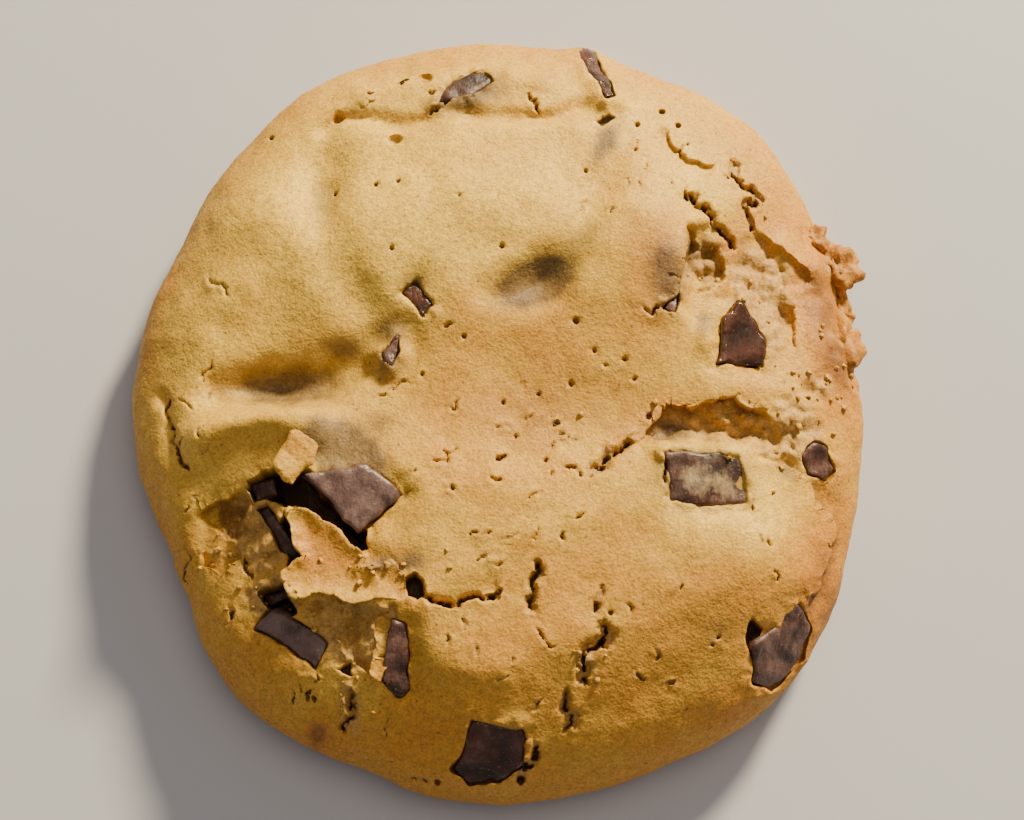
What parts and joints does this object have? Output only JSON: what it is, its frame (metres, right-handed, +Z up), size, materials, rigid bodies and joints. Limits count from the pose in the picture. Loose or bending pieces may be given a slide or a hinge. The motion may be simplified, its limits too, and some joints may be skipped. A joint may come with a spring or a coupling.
{
  "type": "chocolate chip cookie",
  "caption": "Thick round baked cookie with a domed, cracked top, one torn corner and dark chocolate chunks set in it; it lies on its flat base.",
  "frame": {"origin": "middle of the cookie's box, on the plane of its flat base", "axes": "+Z up out of the domed top, +Y along the longest way across the cookie, the torn corner towards -X -Y"},
  "size_m": [0.089, 0.0944, 0.019],
  "materials": {
    "baked_dough": "sandy baked crust, golden with browner rims",
    "chocolate": "dark chocolate, half glossy with dull scuffs"
  },
  "bodies": {
    "root": {"dough": "baked_dough", "chunk_west": "chocolate", "chunk_west_under_lip": "chocolate", "chunk_west_strip": "chocolate", "chunk_south_west": "chocolate", "chunk_south_slab": "chocolate", "chunk_south": "chocolate", "chunk_south_east": "chocolate", "chunk_east_filmed": "chocolate", "chunk_east": "chocolate", "chunk_north_strip": "chocolate", "chunk_east_rim": "chocolate", "chunk_centre_upper": "chocolate", "chunk_centre_lower": "chocolate", "chunk_north_filmed": "chocolate", "chunk_north_east_tip": "chocolate", "chunk_hole": "chocolate"}
  },
  "joints": []
}
